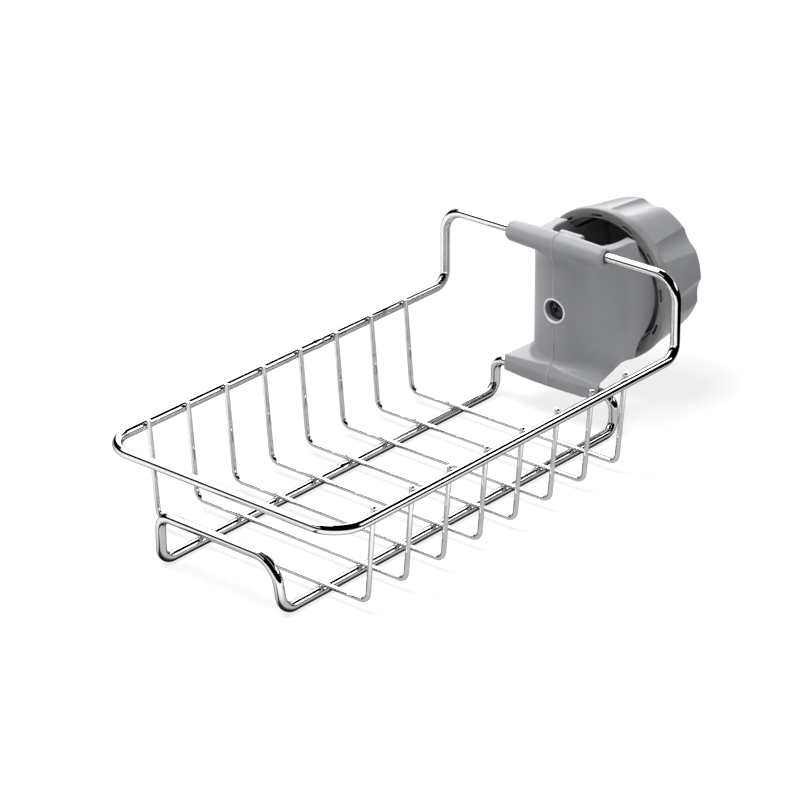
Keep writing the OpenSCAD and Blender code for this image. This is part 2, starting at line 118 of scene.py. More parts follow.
def addNoise(tree, scale, detail, roughness=0.55):
    noise = addNode(tree, "ShaderNodeTexNoise")
    feedAll(tree, noise, {
        "Vector": objectPoint(tree), "Scale": scale, "Detail": detail, "Roughness": roughness,
    })
    return noise.outputs["Fac"]


def mapValue(tree, source, low, high, fromLow=0.3, fromHigh=0.7):
    node = addNode(tree, "ShaderNodeMapRange")
    feedAll(tree, node, {
        "Value": source, "From Min": fromLow, "From Max": fromHigh, "To Min": low, "To Max": high,
    })
    return node.outputs["Result"]


def calculate(tree, operation, *inputs, kind="Math", output="Value"):
    node = addNode(tree, "ShaderNode" + kind, operation=operation)
    for socket, value in zip(node.inputs, inputs):
        feed(tree, socket, value)
    return node.outputs[output]


def mixValues(tree, kind, factor, first, second):
    node = addNode(tree, "ShaderNodeMix", data_type=kind)
    feedAll(tree, node, {"Factor": factor, "A": first, "B": second})
    return node.outputs["Result"]


def mixColour(tree, factor, first, second):
    # each end is a colour without alpha, or another node's colour
    ends = [(*end, 1) if isinstance(end, tuple) else end for end in (first, second)]
    return mixValues(tree, "RGBA", factor, *ends)


def addBump(tree, height, strength, distance, normal=None):
    bump = addNode(tree, "ShaderNodeBump")
    feedAll(tree, bump, {"Strength": strength, "Distance": distance, "Height": height})
    if normal is not None:
        feed(tree, bump.inputs["Normal"], normal)
    return bump.outputs["Normal"]


def sideways(tree):
    # how far a point lies from the rack's middle plane
    split = addNode(tree, "ShaderNodeSeparateXYZ")
    feed(tree, split.inputs["Vector"], objectPoint(tree))
    return calculate(tree, "ABSOLUTE", split.outputs["X"])


# polished chrome plate: nearly a mirror, with the drawn wire's faint waviness under it
chromeSettings = {
    "bright": (0.95, 0.95, 0.955),
    "dull": (0.9, 0.895, 0.9),
    "tint": (0.1, 0.1, 0.1, 1),
    "roughLow": 0.012,
    "roughHigh": 0.04,
    "wave": 260.0,
    "waveDepth": 0.15 * mm,
    "grain": 2600.0,
}


def chromeMaterial(name, s, roughAdded=0.0, waviness=0.05):
    material, tree, shader = newMaterial(name)
    broad = addNoise(tree, s["wave"], detail=3.0)
    fine = addNoise(tree, s["grain"], detail=2.0)
    feedAll(tree, shader, {
        "Base Color": mixColour(tree, mapValue(tree, broad, 0, 1), s["dull"], s["bright"]),
        "Specular Tint": s["tint"],
        "Roughness": mapValue(tree, fine, s["roughLow"] + roughAdded, s["roughHigh"] + roughAdded),
        "Metallic": 1.0,
        "Normal": addBump(tree, broad, waviness, s["waveDepth"]),
    })
    return material


chrome = chromeMaterial("polishedChrome", chromeSettings)
weldChrome = chromeMaterial("platedWeld", chromeSettings, roughAdded=0.05, waviness=0.12)


# moulded plastic: satin, spark-eroded skin, slight clouding, and a seam where the mould's halves met
plasticSettings = {
    "clamp": {"colour": (0.225, 0.229, 0.245), "rough": 0.33, "spread": 0.05},
    "knob": {"colour": (0.208, 0.214, 0.228), "rough": 0.3, "spread": 0.05},
    # near-black for the knob's inside: painted shade, where the deep cup gets little light
    "bore": {"colour": (0.01, 0.01, 0.011), "rough": 0.85, "spread": 0.05},
    "saddle": {"colour": (0.33, 0.336, 0.348), "rough": 0.4, "spread": 0.06},
    # the pale lip round the screw's hole: a painted highlight where its rounded edge catches the light
    "lip": {"colour": (0.62, 0.625, 0.64), "rough": 0.3, "spread": 0.05},
    "ior": 1.49,
    "roughBelow": 0.04,
    "roughAbove": 0.06,
    "clouding": 55.0,
    "skin": 3800.0,
    "skinStrength": 0.35,
    "skinDepth": 0.012 * mm,
    "seamHalfWidth": 0.45 * mm,
    "seamDepth": 0.35 * mm,
    # the seam's paler colour is a painted highlight along its ridge
    "seamPale": 0.7,
    "paleFrom": 0.2,
    "paleTo": 0.9,
    "seamHighlightColour": (0.42, 0.43, 0.445),
}


def plasticMaterial(name, piece, s, seam=False):
    material, tree, shader = newMaterial(name)
    clouds = addNoise(tree, s["clouding"], detail=4.0)
    skin = addNoise(tree, s["skin"], detail=2.0)
    lighter = tuple(c * (1 + piece["spread"]) for c in piece["colour"])
    darker = tuple(c * (1 - piece["spread"]) for c in piece["colour"])
    colour = mixColour(tree, mapValue(tree, clouds, 0, 1), darker, lighter)
    normal = addBump(tree, skin, s["skinStrength"], s["skinDepth"])
    if seam:
        # a low ridge along the middle plane, which fades out on both sides, with a paler colour along it
        # that is a painted highlight
        ridge = mapValue(tree, sideways(tree), 1, 0, 0, s["seamHalfWidth"])
        pale = mapValue(tree, ridge, 0, s["seamPale"], s["paleFrom"], s["paleTo"])
        colour = mixColour(tree, pale, colour, s["seamHighlightColour"])
        normal = addBump(tree, ridge, 1.0, s["seamDepth"], normal)
    rough = piece["rough"]
    feedAll(tree, shader, {
        "Base Color": colour,
        "Roughness": mapValue(tree, skin, rough - s["roughBelow"], rough + s["roughAbove"]),
        "IOR": s["ior"],
        "Normal": normal,
    })
    return material


clampPlastic = plasticMaterial("clampPlastic", plasticSettings["clamp"], plasticSettings, seam=True)
knobPlastic = plasticMaterial("knobPlastic", plasticSettings["knob"], plasticSettings)
paintedShadeBorePlastic = plasticMaterial("paintedShadeBorePlastic", plasticSettings["bore"], plasticSettings)
saddlePlastic = plasticMaterial("saddlePlastic", plasticSettings["saddle"], plasticSettings)
paintedHighlightLipPlastic = plasticMaterial("paintedHighlightLipPlastic", plasticSettings["lip"], plasticSettings)


# the pressure ring's dark, dry rubber
rubberSettings = {
    "dark": (0.16, 0.151, 0.155),
    "light": (0.21, 0.2, 0.204),
    "rough": (0.28, 0.4),
    "bloom": 420.0,
    "skin": 5200.0,
    "skinStrength": 0.4,
    "skinDepth": 0.012 * mm,
}


def rubberMaterial(s):
    material, tree, shader = newMaterial("ringRubber")
    bloom = addNoise(tree, s["bloom"], detail=5.0, roughness=0.65)
    skin = addNoise(tree, s["skin"], detail=2.0)
    feedAll(tree, shader, {
        "Base Color": mixColour(tree, mapValue(tree, bloom, 0, 1), s["dark"], s["light"]),
        "Roughness": mapValue(tree, bloom, *s["rough"]),
        "Normal": addBump(tree, skin, s["skinStrength"], s["skinDepth"]),
    })
    return material


ringRubber = rubberMaterial(rubberSettings)


# the saddle's screw: black oxide over turned steel, worn where the grain stands up
oxideSettings = {
    "dark": (0.07, 0.072, 0.078),
    "worn": (0.17, 0.174, 0.18),
    "wornFrom": 0.5,
    "wornTo": 0.75,
    "rough": (0.12, 0.26),
    "grain": 1400.0,
    "grainStrength": 0.2,
    "grainDepth": 0.02 * mm,
}


def oxideMaterial(s):
    material, tree, shader = newMaterial("blackOxide")
    grain = addNoise(tree, s["grain"], detail=4.0)
    wear = mapValue(tree, grain, 0, 1, s["wornFrom"], s["wornTo"])
    feedAll(tree, shader, {
        "Base Color": mixColour(tree, wear, s["dark"], s["worn"]),
        "Roughness": mapValue(tree, grain, *s["rough"]),
        "Metallic": 1.0,
        "Normal": addBump(tree, grain, s["grainStrength"], s["grainDepth"]),
    })
    return material


blackOxide = oxideMaterial(oxideSettings)
print("materials made")


# helpers that turn a mesh into a piece
def meshFrom(name, bm):
    mesh = bpy.data.meshes.new(name)
    bm.to_mesh(mesh)
    bm.free()
    return mesh


def linkObject(name, data):
    item = bpy.data.objects.new(name, data)
    scene.collection.objects.link(item)
    return item


def dressPiece(mesh, name, body, slotName, material, nodes=(), sharpAngle=35):
    mesh.shade_smooth()
    mesh.set_sharp_from_angle(angle=math.radians(sharpAngle))
    mesh.materials.clear()
    mesh.materials.append(material)
    piece = linkObject(name, mesh)
    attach(piece, body)
    if nodes:
        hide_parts(*nodes)
    return piece


def finishPiece(bm, name, *looks):
    bmesh.ops.recalc_face_normals(bm, faces=bm.faces)
    return dressPiece(meshFrom(name, bm), name, *looks)


# bending wire: a ring of vertices is pushed along each straight run and spun round each bend
wireSettings = {
    "heavy": 1.6 * mm,
    "thin": 0.8 * mm,
    "heavySides": 32,
    "thinSides": 20,
    "heavyStep": 6,  # degrees of a bend between two rings
    "thinStep": 9,
    "fewestSteps": 4,
    "closing": 1 * mm,
    "domeBulge": 0.15,
    "domeSteps": 5,
}
heavy = wireSettings["heavy"]
thin = wireSettings["thin"]


def ringOf(geometry):
    # the vertices in what an operator made, and the edges that join them to one another
    verts = [item for item in geometry if isinstance(item, bmesh.types.BMVert)]
    chosen = set(verts)
    near = {edge for vert in verts for edge in vert.link_edges}
    return verts, [edge for edge in near if all(vert in chosen for vert in edge.verts)]


def pushRing(bm, edges, move):
    verts, edges = ringOf(bmesh.ops.extrude_edge_only(bm, edges=edges)["geom"])
    bmesh.ops.translate(bm, verts=verts, vec=move)
    return verts, edges


def discAt(bm, centre, direction, radius, sides):
    turn = direction.to_track_quat("Z", "Y").to_matrix().to_4x4()
    return ringOf(bmesh.ops.create_circle(
        bm, cap_ends=False, radius=radius, segments=sides, matrix=Matrix.Translation(centre) @ turn
    )["verts"])


def cornerFacts(before, here, after, radius):
    # where a bend starts and ends, what it turns about, and how far it turns
    u = (here - before).normalized()
    v = (after - here).normalized()
    angle = u.angle(v)
    cut = radius * math.tan(angle / 2)
    axis = u.cross(v).normalized()
    return {
        "start": here - u * cut,
        "end": here + v * cut,
        "centre": here - u * cut + axis.cross(u) * radius,
        "axis": axis,
        "angle": angle,
    }


def bendWire(bm, verts, edges, at, bends, stepDegrees):
    for facts in bends:
        verts, edges = pushRing(bm, edges, facts["start"] - at)
        steps = max(wireSettings["fewestSteps"], round(math.degrees(facts["angle"]) / stepDegrees))
        verts, edges = ringOf(bmesh.ops.spin(
            bm, geom=verts + edges, cent=facts["centre"], axis=facts["axis"], dvec=(0, 0, 0),
            angle=facts["angle"], steps=steps, use_duplicate=False,
        )["geom_last"])
        at = facts["end"]
    return edges, at


def makeLoop(name, node, corners, radii):
    # a heavy wire bent into a closed loop, whose last stretch is bridged back to its first ring
    count = len(corners)
    start = (corners[0] + corners[1]) / 2
    direction = (corners[1] - corners[0]).normalized()
    bm = bmesh.new()
    verts, firstEdges = discAt(bm, start, direction, heavy, wireSettings["heavySides"])
    bends = [
        cornerFacts(*(corners[(i + k) % count] for k in range(3)), radii[(i + 1) % count])
        for i in range(count)
    ]
    edges, at = bendWire(bm, verts, firstEdges, start, bends, wireSettings["heavyStep"])
    verts, edges = pushRing(bm, edges, start - direction * wireSettings["closing"] - at)
    bmesh.ops.bridge_loops(bm, edges=edges + firstEdges)
    finishPiece(bm, name, "rack", "chromed_wire", chrome, [node])


def domedEnd(bm, edges, centre, direction, radius):
    # closes a wire's end with a low dome, as its tip is cut and then tumbled
    height = 0.0
    width = 1.0
    steps = wireSettings["domeSteps"]
    for i in range(1, steps):
        angle = math.pi / 2 * i / steps
        rise = math.sin(angle) * radius * wireSettings["domeBulge"]
        verts, edges = pushRing(bm, edges, direction * (rise - height))
        scale = math.cos(angle) / width
        bmesh.ops.scale(
            bm, verts=verts, vec=(scale,) * 3, space=Matrix.Translation(-(centre + direction * rise))
        )
        height, width = rise, math.cos(angle)
    bmesh.ops.holes_fill(bm, edges=edges, sides=0)


# the rim: one heavy wire that climbs from the basket's edge over the clamp's sleeve
rimLow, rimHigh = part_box("rim_wire")
rimSettings = {
    "frontBend": 10.5 * mm,
    "riserBend": 5 * mm,
    "topBend": 8 * mm,
}


def makeRim(s):
    x = rimHigh.x - heavy
    front = rimLow.y + heavy
    back = rimHigh.y - heavy
    low = rimLow.z + heavy
    top = rimHigh.z - heavy
    corners = [
        Vector((-x, front, low)), Vector((x, front, low)), Vector((x, back, low)),
        Vector((x, back, top)), Vector((-x, back, top)), Vector((-x, back, low)),
    ]
    radii = [s["frontBend"], s["frontBend"], s["riserBend"], s["topBend"], s["topBend"], s["riserBend"]]
    makeLoop("rimWire", "rim_wire", corners, radii)


makeRim(rimSettings)


# the base: one heavy wire with an arch at each end, the front one with a soft corner
baseLow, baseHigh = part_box("base_wire")
baseSettings = {
    "railSpacing": 49.4 * mm,
    "frontTop": 17.4 * mm,
    "backTop": 13.5 * mm,
    "bend": 4.5 * mm,
    "softBend": 9 * mm,
    "softLean": 2.8 * mm,
}


def makeBase(s):
    x = s["railSpacing"] / 2
    front = baseLow.y + heavy
    back = baseHigh.y - heavy
    corners = [
        Vector((x, front, heavy)), Vector((x, back, heavy)), Vector((x, back, s["backTop"])),
        Vector((-x, back, s["backTop"])), Vector((-x, back, heavy)), Vector((-x, front, heavy)),
        Vector((-x, front, s["frontTop"])), Vector((x - s["softLean"], front, s["frontTop"])),
    ]
    makeLoop("baseWire", "base_wire", corners, [s["bend"]] * 7 + [s["softBend"]])


makeBase(baseSettings)
print("heavy wires bent")


# the eight thin wires, each a U with rounded tips that stand just above the rim
crossSettings = {
    "count": 8,
    "bottomWidth": 85.4 * mm,
    "bend": 3 * mm,
}


def makeCrossWire(index, s):
    node = f"cross_wire_{index}"
    low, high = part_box(node)
    y = (low.y + high.y) / 2
    bottom = low.z + thin
    tip = high.z - thin
    side = high.x - thin
    half = s["bottomWidth"] / 2
    path = [
        Vector((-side, y, tip)), Vector((-half, y, bottom)),
        Vector((half, y, bottom)), Vector((side, y, tip)),
    ]
    down = (path[1] - path[0]).normalized()
    bm = bmesh.new()
    verts, firstEdges = discAt(bm, path[0], down, thin, wireSettings["thinSides"])
    bends = [cornerFacts(*path[i:i + 3], s["bend"]) for i in range(2)]
    edges, at = bendWire(bm, verts, firstEdges, path[0], bends, wireSettings["thinStep"])
    verts, edges = pushRing(bm, edges, path[3] - at)
    domedEnd(bm, edges, path[3], (path[3] - path[2]).normalized(), thin)
    domedEnd(bm, firstEdges, path[0], -down, thin)
    finishPiece(bm, f"crossWire{index}", "rack", "chromed_wire", chrome, [node])
    return y


wireRows = [makeCrossWire(i + 1, crossSettings) for i in range(crossSettings["count"])]
print("cross wires bent")


# resistance welds where the thin wires meet the heavy ones, and the two butt welds
weldSettings = {
    "rimSize": Vector((0.45, 0.95, 0.55)) * mm,
    "rimInset": 0.1 * mm,
    "rimDrop": 0.4 * mm,
    "railSize": Vector((1.0, 0.95, 0.4)) * mm,
    "buttLength": 4.6 * mm,
    "buttRise": 0.16 * mm,
    "buttProfile": [
        # shares of the half length and of the rise
        (-1.0, -0.06), (-0.72, 0.7), (-0.4, 1.0), (0.1, 0.82), (0.45, 1.0), (0.75, 0.6), (1.0, -0.06),
    ],
    "buttSteps": 32,
    "rimButtFromFront": 97.0 * mm,
    "railButtFromFront": 84.0 * mm,
}


def spinFull(bm, verts, edges, centre, steps):
    # one full turn about a line that runs from front to back
    bmesh.ops.spin(
        bm, geom=verts + edges, cent=centre, axis=(0, 1, 0), dvec=(0, 0, 0),
        angle=2 * math.pi, steps=steps, use_merge=True, use_duplicate=False,
    )


def addNugget(bm, centre, size):
    verts = bmesh.ops.create_icosphere(bm, subdivisions=3, radius=1.0)["verts"]
    bmesh.ops.scale(bm, verts=verts, vec=size)
    bmesh.ops.translate(bm, verts=verts, vec=centre)


def addButtWeld(bm, centre, s):
    # a low barrel round the wire, ground down but still proud of it
    half = s["buttLength"] / 2
    verts = [
        bm.verts.new(centre + Vector((heavy + s["buttRise"] * rise, half * along, 0)))
        for along, rise in s["buttProfile"]
    ]
    edges = [bm.edges.new(pair) for pair in zip(verts, verts[1:])]
    spinFull(bm, verts, edges, centre, s["buttSteps"])


def makeWelds(s):
    bm = bmesh.new()
    front = rimLow.y + heavy
    rimX = rimHigh.x - heavy
    rimZ = rimLow.z + heavy
    railX = baseSettings["railSpacing"] / 2
    for y in wireRows:
        for side in (-1, 1):
            inside = Vector((side * (rimX - heavy - s["rimInset"]), y, rimZ - s["rimDrop"]))
            addNugget(bm, inside, s["rimSize"])
            addNugget(bm, Vector((side * railX, y, 2 * heavy)), s["railSize"])
    addButtWeld(bm, Vector((-rimX, front + s["rimButtFromFront"], rimZ)), s)
    addButtWeld(bm, Vector((-railX, front + s["railButtFromFront"], heavy + s["buttRise"])), s)
    finishPiece(bm, "weldBeads", "rack", "chromed_wire", weldChrome)


makeWelds(weldSettings)
print("welds added")


# shaping: what modifiers make of a mesh, cuts, and profiles carried round the clamp's axis
def shapeFrom(name, bm, modifiers):
    mesh = meshFrom(name, bm)
    work = linkObject(name, mesh)
    for kind, values in modifiers:
        modifier = work.modifiers.new(kind.lower(), kind)
        for key, value in values.items():
            setattr(modifier, key, value)
    bpy.context.view_layer.update()
    shaped = bpy.data.meshes.new_from_object(work.evaluated_get(bpy.context.evaluated_depsgraph_get()))
    bpy.data.objects.remove(work)
    bpy.data.meshes.remove(mesh)
    return shaped


def cutShape(name, bm, cutters, **values):
    mesh = meshFrom("cutters", cutters)
    cutter = linkObject("cutters", mesh)
    shaped = shapeFrom(name, bm, [
        ("BOOLEAN", {"operation": "DIFFERENCE", "solver": "EXACT", "object": cutter, **values}),
    ])
    bpy.data.objects.remove(cutter)
    bpy.data.meshes.remove(mesh)
    return shaped


def sweepProfile(bm, profile, start, angle, steps, climb=0.0):
    # a face of (distance from the axis, place along it), carried round the axis from a start angle
    turn = Matrix.Translation(clampAxis) @ Matrix.Rotation(start, 4, "Y")
    verts = [bm.verts.new(turn @ Vector((r, y, 0))) for r, y in profile]
    face = bm.faces.new(verts)
    bmesh.ops.spin(
        bm, geom=[face] + list(face.edges) + verts, cent=clampAxis, axis=(0, 1, 0),
        dvec=(0, climb / steps, 0), angle=angle, steps=steps, use_duplicate=False,
    )


def closeSweeps(bm):
    bmesh.ops.holes_fill(bm, edges=[edge for edge in bm.edges if edge.is_boundary], sides=0)
    bmesh.ops.recalc_face_normals(bm, faces=bm.faces)


# moulded pieces: the frame's own solid, with its edges and inner corners run round as in a mould
mouldSettings = {
    "merge": 0.002 * mm,
    "smoothing": 0.5,
    "clamp": {"voxel": 0.26 * mm, "smoothings": 9, "facesKept": 0.22},
    "saddle": {"voxel": 0.22 * mm, "smoothings": 6, "facesKept": 0.25},
    "sharpAngle": 60,
}


def copySolid(node):
    bm = bmesh.new()
    bm.from_mesh(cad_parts[node].data)
    bmesh.ops.remove_doubles(bm, verts=bm.verts, dist=mouldSettings["merge"])
    return bm


def mouldedShape(name, bm, s):
    return shapeFrom(name, bm, [
        ("REMESH", {"mode": "VOXEL", "voxel_size": s["voxel"], "adaptivity": 0.0}),
        ("SMOOTH", {"factor": mouldSettings["smoothing"], "iterations": s["smoothings"]}),
        ("DECIMATE", {"ratio": s["facesKept"]}),
    ])


# the wings' two-start thread, as ridges that stop short of each wing's edges
threadSettings = {
    "lead": 8 * mm,
    "starts": 2,
    "root": 20.3 * mm,
    "crest": 21.2 * mm,
    "rootHalf": 0.95 * mm,
    "crestHalf": 0.4 * mm,
    "sweep": math.radians(96),
    "steps": 48,
    "firstFromRing": 4.6 * mm,
    "rows": 4,
}


def addThreadRidge(bm, y, middle, s):
    climb = s["lead"] * s["sweep"] / (2 * math.pi)
    profile = [
        (r, y - climb / 2 + along) for r, along in (
            (s["root"], -s["rootHalf"]), (s["crest"], -s["crestHalf"]),
            (s["crest"], s["crestHalf"]), (s["root"], s["rootHalf"]),
        )
    ]
    sweepProfile(bm, profile, middle - s["sweep"] / 2, s["sweep"], s["steps"], climb)


def makeClampBody(s):
    ridges = bmesh.new()
    pitch = s["lead"] / s["starts"]
    for side in (0, math.pi):
        for row in range(s["rows"]):
            addThreadRidge(ridges, ringLow.y + s["firstFromRing"] + row * pitch, side, s)
    closeSweeps(ridges)
    thread = meshFrom("thread", ridges)
    bm = copySolid("clamp_body")
    bm.from_mesh(thread)
    bpy.data.meshes.remove(thread)
    mesh = mouldedShape("clampShape", bm, mouldSettings["clamp"])
    dressPiece(
        mesh, "clampBody", "rack", "clamp_plastic", clampPlastic, ["clamp_body"],
        mouldSettings["sharpAngle"],
    )
    print("clamp body faces", len(mesh.polygons))


makeClampBody(threadSettings)


def makeSaddle(s):
    mesh = mouldedShape("saddleShape", copySolid("pipe_saddle"), s["saddle"])
    dressPiece(
        mesh, "pipeSaddle", "rack", "saddle_plastic", saddlePlastic, ["pipe_saddle"], s["sharpAngle"]
    )
    print("saddle faces", len(mesh.polygons))


makeSaddle(mouldSettings)


# turned pieces: a half section in (radius, depth behind the piece's front), spun about an axis
turnedMerge = 0.001 * mm


def turnedPiece(section, front, steps, closed=True, axis=clampAxis):
    bm = bmesh.new()
    verts = [bm.verts.new(axis + Vector((r, front + depth, 0))) for r, depth in section]
    path = verts + verts[:1] if closed else verts
    edges = [bm.edges.new(pair) for pair in zip(path, path[1:])]
    spinFull(bm, verts, edges, axis, steps)
    bmesh.ops.remove_doubles(bm, verts=bm.verts, dist=turnedMerge)
    bmesh.ops.recalc_face_normals(bm, faces=bm.faces)
    return bm


def roundCorner(centre, radius, fromAngle, toAngle, steps):
    # points of an arc in the half section, with angles in degrees
    points = []
    for i in range(steps + 1):
        angle = math.radians(fromAngle + (toAngle - fromAngle) * i / steps)
        points.append((centre[0] + radius * math.cos(angle), centre[1] + radius * math.sin(angle)))
    return points


# the knob: a tapered cup with flutes that deepen towards its back
knobSettings = {
    "frontRadius": 26.3 * mm,
    "backRadius": 23.7 * mm,
    "length": knobHigh.y - knobLow.y,
    "lip": 0.5 * mm,
    "edge": 1.2 * mm,
    "bore": 21.5 * mm,
    "boreCorner": 1 * mm,
    "boreEdge": 0.4 * mm,
    "mouth": 24.38 * mm,
    "mouthDepth": 2.5 * mm,
    "mouthCorner": 0.2 * mm,
    "mouthEdge": 0.3 * mm,
    "floor": 2.6 * mm,
    "dishDepth": 0.6 * mm,
    "dishBorder": 5.0 * mm,
    "dishEdge": 0.4 * mm,
    "flutes": 8,
    "fluteStart": math.radians(37),
    "fluteRadius": 10 * mm,
    "fluteFront": 0.8 * mm,
    "fluteBack": 1.6 * mm,
    "fluteSoft": 0.05 * mm,
    "skinAtMouth": 0.5 * mm,
    "skinAtEdge": 1.26 * mm,
    "skinFrom": 3 * mm,
    "boreMargin": 0.1 * mm,
    "steps": 960,
    "rings": 14,
    "sharpAngle": 28,
}


def knobSection(s):
    length = s["length"]
    dish = s["backRadius"] - s["dishBorder"]
    dishFloor = length - s["dishDepth"]
    inside = length - s["floor"]
    slope = (s["frontRadius"] - s["backRadius"]) / length
    section = roundCorner((s["frontRadius"] - s["lip"], s["lip"]), s["lip"], -90, 0, steps=4)
    for i in range(1, s["rings"]):
        depth = s["lip"] + (length - s["edge"] - s["lip"]) * i / s["rings"]
        section.append((s["frontRadius"] - slope * depth, depth))
    section += roundCorner((s["backRadius"] - s["edge"], length - s["edge"]), s["edge"], 0, 90, steps=8)
    small = s["dishEdge"]
    section += roundCorner((dish + small, length - small), small, 90, 180, steps=3)
    section += roundCorner((dish - small, dishFloor + small), small, 0, -90, steps=3)
    section += [(dish * share, dishFloor) for share in (0.75, 0.5, 0.25, 0)]
    return section + [
        (0, inside),
        (s["bore"] - s["boreCorner"], inside), (s["bore"], inside - s["boreCorner"]),
        (s["bore"], s["mouthDepth"] + s["boreEdge"]), (s["bore"] + s["boreEdge"], s["mouthDepth"]),
        (s["mouth"] - s["mouthCorner"], s["mouthDepth"]), (s["mouth"], s["mouthDepth"] - s["mouthCorner"]),
        (s["mouth"], s["mouthEdge"]), (s["mouth"] + s["mouthEdge"], 0),
    ]


def fluteDepth(radius, angle, depth, s):
    # how far the flute's round hollow cuts in from a land of this radius
    hollow = s["fluteRadius"]
    centre = radius - depth + hollow
    reach = hollow * hollow - (centre * math.sin(angle)) ** 2
    if reach <= 0:
        return 0.0
    cut = radius - (centre * math.cos(angle) - math.sqrt(reach))
    soft = s["fluteSoft"]
    return 0.5 * (cut + math.sqrt(cut * cut + soft * soft)) if cut > -3 * soft else 0.0


def isOuterSkin(radius, depth, land, s):
    # the flutes are cut in the knob's outside alone, and not in its bore, mouth or dish
    if radius >= s["mouth"] + s["skinAtMouth"]:
        return True
    return radius >= land - s["skinAtEdge"] and depth >= s["skinFrom"]


def makeKnob(s):
    front = knobLow.y
    bm = turnedPiece(knobSection(s), front, s["steps"])
    pitch = 2 * math.pi / s["flutes"]
    for vert in bm.verts:
        out = vert.co - clampAxis
        depth = out.y - front
        radius = math.hypot(out.x, out.z)
        share = min(max(depth / s["length"], 0), 1)
        land = s["frontRadius"] + (s["backRadius"] - s["frontRadius"]) * share
        if not isOuterSkin(radius, depth, land, s):
            continue
        angle = (math.atan2(out.z, out.x) - s["fluteStart"] + pitch / 2) % pitch - pitch / 2
        cut = fluteDepth(land, angle, s["fluteFront"] + (s["fluteBack"] - s["fluteFront"]) * share, s)
        cut = max(0.0, cut - (land - radius))
        vert.co.x -= cut * out.x / radius
        vert.co.z -= cut * out.z / radius
    # faces inside the cup take the near-black second material, a painted shade for the cup's dark inside
    for face in bm.faces:
        middle = face.calc_center_median() - clampAxis
        inner = math.hypot(middle.x, middle.z) < s["bore"] + s["boreMargin"]
        inCup = middle.y - front < s["length"] - s["floor"] + s["boreMargin"]
        face.material_index = int(inner and inCup)
    piece = finishPiece(
        bm, "flutedKnob", "knob", "knob_plastic", knobPlastic, ["knob"], s["sharpAngle"]
    )
    piece.data.materials.append(paintedShadeBorePlastic)
    print("knob faces", len(piece.data.polygons))


makeKnob(knobSettings)


# the pressure ring: a flanged ring with curved snap slots through its flange
ringSettings = {
    "outer": (ringHigh.x - ringLow.x) / 2,
    "hole": 23.3 * mm,
    "thick": 3 * mm,
    "hubWall": 1 * mm,
    "length": ringHigh.y - ringLow.y,
    "round": 0.5 * mm,
    "edge": 0.25 * mm,
    "slots": 12,
    "slotStart": math.radians(6),
    "slotAngle": math.radians(10.5),
    "slotInset": 0.6 * mm,
    "slotWidth": 0.9 * mm,
    "slotFloor": 0.6 * mm,
    "slotSteps": 10,
    "cutterReach": 1 * mm,
    "steps": 240,
    "sharpAngle": 40,
}


def ringSection(s):
    small = s["edge"]
    hub = s["hole"] + s["hubWall"]
    section = roundCorner((s["hole"] + small, small), small, 180, 270, steps=3)
    section += roundCorner((s["outer"] - s["round"], s["round"]), s["round"], -90, 0, steps=5)
    section += roundCorner((s["outer"] - small, s["thick"] - small), small, 0, 90, steps=3)
    return section + [
        (hub + small, s["thick"]), (hub, s["thick"] + small),
        (hub, s["length"] - small), (hub - small, s["length"]),
        (s["hole"] + small, s["length"]), (s["hole"], s["length"] - small),
    ]


def slotCutters(s, front):
    bm = bmesh.new()
    inner = s["hole"] + s["slotInset"]
    outer = inner + s["slotWidth"]
    near = front - s["cutterReach"]
    far = front + (s["thick"] - s["slotFloor"])
    profile = [(inner, near), (outer, near), (outer, far), (inner, far)]
    for i in range(s["slots"]):
        start = -(s["slotStart"] + 2 * math.pi * i / s["slots"]) - s["slotAngle"] / 2
        sweepProfile(bm, profile, start, s["slotAngle"], s["slotSteps"])
    closeSweeps(bm)
    return bm


def makeRing(s):
    turned = turnedPiece(ringSection(s), ringLow.y, s["steps"])
    mesh = cutShape("ringShape", turned, slotCutters(s, ringLow.y))
    dressPiece(
        mesh, "pressureRing", "pressure_ring", "ring_rubber", ringRubber, ["pressure_ring"],
        s["sharpAngle"],
    )
    print("ring faces", len(mesh.polygons))


makeRing(ringSettings)


# the saddle's screw, seen at the bottom of the column's hole
screwLow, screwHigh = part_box("saddle_screw")
screwAxis = Vector((0, 0, (screwLow.z + screwHigh.z) / 2))
screwSettings = {
    "headRadius": (screwHigh.x - screwLow.x) / 2,
    "headHeight": 2.4 * mm,
    "headEdge": 0.2 * mm,
    "dome": 1.2 * mm,
    "domeReach": 0.96,
    "domeSteps": 8,
    "domeDrop": 0.1 * mm,
    "shank": 1.5 * mm,
    "tip": 0.5 * mm,
    "length": screwHigh.y - screwLow.y,
    "recess": 0.7 * mm,
    "recessReach": 2.6 * mm,
    "recessMiddle": 0.3 * mm,
    "recessDepth": 1.4 * mm,
    "recessTurn": math.radians(20),
    "steps": 48,
    "sharpAngle": 30,
}


def screwSection(s):
    # a domed head and a plain shank, from the head's middle to the shank's end
    head = s["headRadius"]
    sphere = (head ** 2 + s["dome"] ** 2) / (2 * s["dome"])
    radii = [head * s["domeReach"] * i / s["domeSteps"] for i in range(s["domeSteps"] + 1)]
    return [(r, sphere - math.sqrt(sphere * sphere - r * r)) for r in radii] + [
        (head, s["dome"] + s["domeDrop"]), (head, s["headHeight"] - s["headEdge"]),
        (head - s["headEdge"], s["headHeight"]), (s["shank"], s["headHeight"]),
        (s["shank"], s["length"] - s["tip"]), (s["shank"] - s["tip"], s["length"]), (0, s["length"]),
    ]


